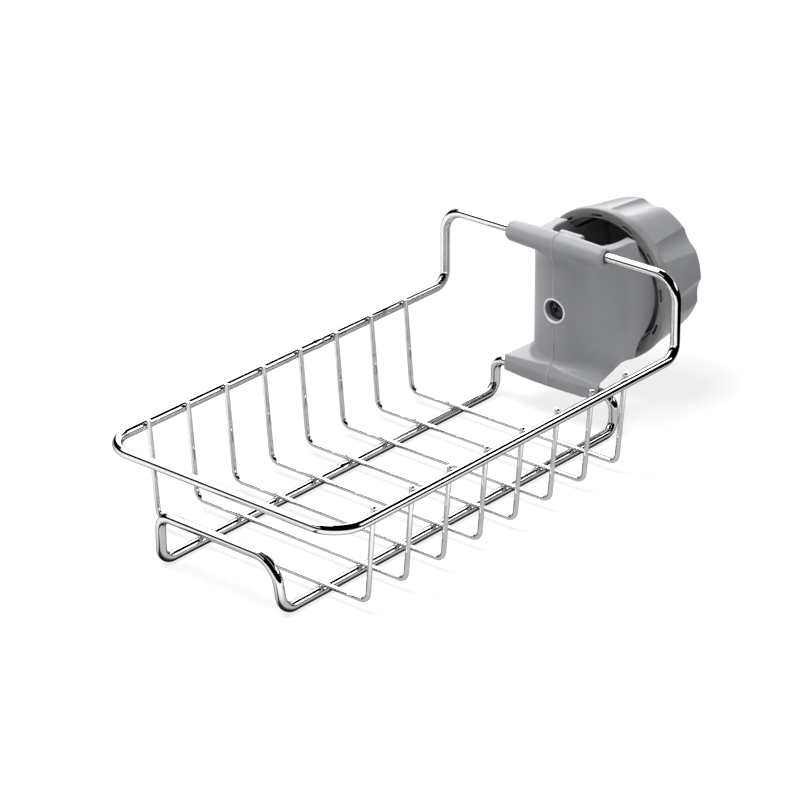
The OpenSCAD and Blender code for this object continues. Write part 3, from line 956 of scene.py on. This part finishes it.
def makeScrew(s):
    cross = bmesh.new()
    for turn in (0, math.pi / 2):
        place = (
            Matrix.Translation(screwAxis + Vector((0, screwLow.y + s["recessMiddle"], 0)))
            @ Matrix.Rotation(s["recessTurn"] + turn, 4, "Y")
            @ Matrix.Diagonal((s["recessReach"], s["recessDepth"], s["recess"], 1))
        )
        bmesh.ops.create_cube(cross, size=1.0, matrix=place)
    turned = turnedPiece(screwSection(s), screwLow.y, s["steps"], closed=False, axis=screwAxis)
    mesh = cutShape("screwShape", turned, cross, use_self=True)
    dressPiece(
        mesh, "saddleScrew", "rack", "screw_steel", blackOxide, ["saddle_screw"], s["sharpAngle"]
    )


makeScrew(screwSettings)


# the raised lip round the mouth of the screw's hole, whose pale colour is a painted highlight on its
# rounded edge
lipSettings = {
    "inner": 3.8 * mm,
    "width": 0.6 * mm,
    "rise": 0.14 * mm,
    "sunk": 0.5 * mm,
    "domeSteps": 8,
    "steps": 96,
    "columnFront": rimHigh.y - heavy - 2.2 * mm,
    "columnCurve": 15.8 * mm,
}


def makeLip(s):
    section = [(s["inner"], s["sunk"])]
    for i in range(s["domeSteps"] + 1):
        angle = math.pi * i / s["domeSteps"]
        across = s["width"] * (1 - math.cos(angle)) / 2
        section.append((s["inner"] + across, -s["rise"] * math.sin(angle)))
    section.append((s["inner"] + s["width"], s["sunk"]))
    bm = turnedPiece(section, s["columnFront"], s["steps"], axis=screwAxis)
    # the lip follows the column's round front, so each point moves back with its distance from the middle
    curve = s["columnCurve"]
    for vert in bm.verts:
        vert.co.y += curve - math.sqrt(curve ** 2 - vert.co.x ** 2)
    finishPiece(bm, "holeLip", "rack", "clamp_plastic", paintedHighlightLipPlastic)


makeLip(lipSettings)
print("clamp built")


# studio: a pale floor, soft lamps, and cards that only reflections see in a dark room
studioSettings = {
    "floorSize": 8.0,
    "floorColour": (0.86, 0.86, 0.86),
    "floorSeen": 0.8,
    "fadeFrom": 0.25,
    "fadeTo": 0.9,
    # painted shade on the floor near the rack, and a painted shadow under the base's rails, both seen only
    # in reflections
    "floorNear": 0.52,
    "floorFar": 1.0,
    "floorFrom": 118 * mm,
    "floorTo": 150 * mm,
    "floorSqueeze": (1.6, 1, 0),
    "paintedRailShadow": 0.03,
    "contactFrom": 2.5 * mm,
    "contactTo": 6 * mm,
    "farDirection": (math.sqrt(0.5), math.sqrt(0.5), 0),
    "farFrom": 0.11,
    "farTo": 0.14,
    "worldLight": 0.21,
    "worldMirror": 0.001,
    "cardSteps": 72,
    "cards": [
        # name, radius, first and last azimuth from +X, lowest and highest point, strength
        ("backRight", 3.0, 24, 60, 0.0, 2.2, 2.6),
        ("backMiddle", 3.0, 60, 105, 0.0, 1.2, 1.4),
        ("backLeft", 3.0, 105, 150, 0.2, 2.8, 3.6),
        ("horizonCard", 0.24, -10, 78, 0.0, 0.11, 0.0),
        ("front", 3.0, 195, 250, 0.0, 0.2, 1.0),
        ("frontHigh", 3.0, 195, 265, 1.9, 2.75, 1.0),
        ("softbox", 1.2, 138, 222, 1.04, 3.0, 4.5),
    ],
    "lampAim": Vector((0, 0.03, 0.03)),
    "lamps": [
        # name, place, size, power
        ("key", (-0.3, -0.28, 1.43), 0.7, 29.0),
        ("left", (-1.5, -0.5, 0.6), 0.7, 6.0),
        ("side", (1.4, 0.3, 0.35), 0.6, 6.0),
        ("frontRight", (1.3, -0.35, 0.25), 0.5, 2.5),
    ],
}


def floorInReflections(tree, place, away, s):
    # painted shade: greys towards the rack and is dark under the base's rails, for the rack's shadow and
    # the rails' contact shadows, and ends in the dark behind the knob
    rackShadow = mapValue(tree, away, s["floorNear"], s["floorFar"], s["floorFrom"], s["floorTo"])
    behind = calculate(tree, "DOT_PRODUCT", place, s["farDirection"], kind="VectorMath")
    beforeKnob = mapValue(tree, behind, 1, 0, s["farFrom"], s["farTo"])
    fromRail = calculate(tree, "SUBTRACT", sideways(tree), baseSettings["railSpacing"] / 2)
    beside = calculate(tree, "ABSOLUTE", fromRail)
    railShadow = mapValue(tree, beside, s["paintedRailShadow"], 1, s["contactFrom"], s["contactTo"])
    return calculate(tree, "MULTIPLY", calculate(tree, "MULTIPLY", rackShadow, beforeKnob), railShadow)


def makeFloor(s):
    bm = bmesh.new()
    bmesh.ops.create_grid(bm, x_segments=1, y_segments=1, size=s["floorSize"] / 2)
    floor = linkObject("floor", meshFrom("floor", bm))
    material, tree, shader = newMaterial("paleFloor")
    tree.nodes.remove(shader)
    rays = addNode(tree, "ShaderNodeLightPath")
    inReflections = rays.outputs["Is Glossy Ray"]
    place = objectPoint(tree)
    squeezed = calculate(tree, "MULTIPLY", place, s["floorSqueeze"], kind="VectorMath", output="Vector")
    away = calculate(tree, "LENGTH", squeezed, kind="VectorMath")
    mirrored = floorInReflections(tree, place, away, s)
    glow = addNode(tree, "ShaderNodeEmission")
    feed(tree, glow.inputs["Strength"], mixValues(tree, "FLOAT", inReflections, 1.0, mirrored))
    diffuse = addNode(tree, "ShaderNodeBsdfDiffuse")
    feed(tree, diffuse.inputs["Color"], (*s["floorColour"], 1))
    # the camera sees mostly plain white, so that only a faint shadow is left near the rack
    fade = mapValue(tree, away, s["floorSeen"], 1.0, s["fadeFrom"], s["fadeTo"])
    seen = calculate(tree, "MULTIPLY", fade, rays.outputs["Is Camera Ray"])
    mix = addNode(tree, "ShaderNodeMixShader")
    feed(tree, mix.inputs[0], calculate(tree, "MAXIMUM", seen, inReflections))
    feed(tree, mix.inputs[1], diffuse.outputs["BSDF"])
    feed(tree, mix.inputs[2], glow.outputs["Emission"])
    feed(tree, tree.nodes["Material Output"].inputs["Surface"], mix.outputs["Shader"])
    floor.data.materials.append(material)


def makeCard(name, radius, first, last, low, high, strength):
    # an upright curved card, which only reflections see
    angle = math.radians(first)
    foot = (radius * math.cos(angle), radius * math.sin(angle))
    bm = bmesh.new()
    verts = [bm.verts.new((*foot, z)) for z in (low, high)]
    bmesh.ops.spin(
        bm, geom=verts + [bm.edges.new(verts)], cent=(0, 0, 0), axis=(0, 0, 1), dvec=(0, 0, 0),
        angle=math.radians(last - first), steps=studioSettings["cardSteps"], use_duplicate=False,
    )
    card = linkObject(name, meshFrom(name, bm))
    material, tree, shader = newMaterial(name)
    feedAll(tree, shader, {
        "Base Color": (0, 0, 0, 1),
        "Specular IOR Level": 0.0,
        "Emission Color": (1, 1, 1, 1),
        "Emission Strength": strength,
    })
    card.data.materials.append(material)
    card.visible_camera = False
    card.visible_diffuse = False
    card.visible_shadow = False
    card.visible_transmission = False


def makeWorld(s):
    world = bpy.data.worlds.new("studio")
    scene.world = world
    world.use_nodes = True
    tree = world.node_tree
    # white behind the rack, soft light on it, and a dark room in its reflections
    rays = addNode(tree, "ShaderNodeLightPath")
    lit = mapValue(tree, rays.outputs["Is Camera Ray"], s["worldLight"], 1.0, 0, 1)
    feedAll(tree, tree.nodes["Background"], {
        "Color": (1, 1, 1, 1),
        "Strength": mixValues(tree, "FLOAT", rays.outputs["Is Glossy Ray"], lit, s["worldMirror"]),
    })


def makeLamps(s):
    for name, place, size, power in s["lamps"]:
        data = bpy.data.lights.new(name, "AREA")
        data.shape = "DISK"
        data.size = size
        data.energy = power
        lamp = linkObject(name, data)
        lamp.location = place
        lamp.rotation_euler = (s["lampAim"] - Vector(place)).to_track_quat("-Z", "Y").to_euler()
        lamp.visible_glossy = False


makeFloor(studioSettings)
for card in studioSettings["cards"]:
    makeCard(*card)
makeWorld(studioSettings)
makeLamps(studioSettings)
scene.view_settings.view_transform = "Standard"
print("studio lit")
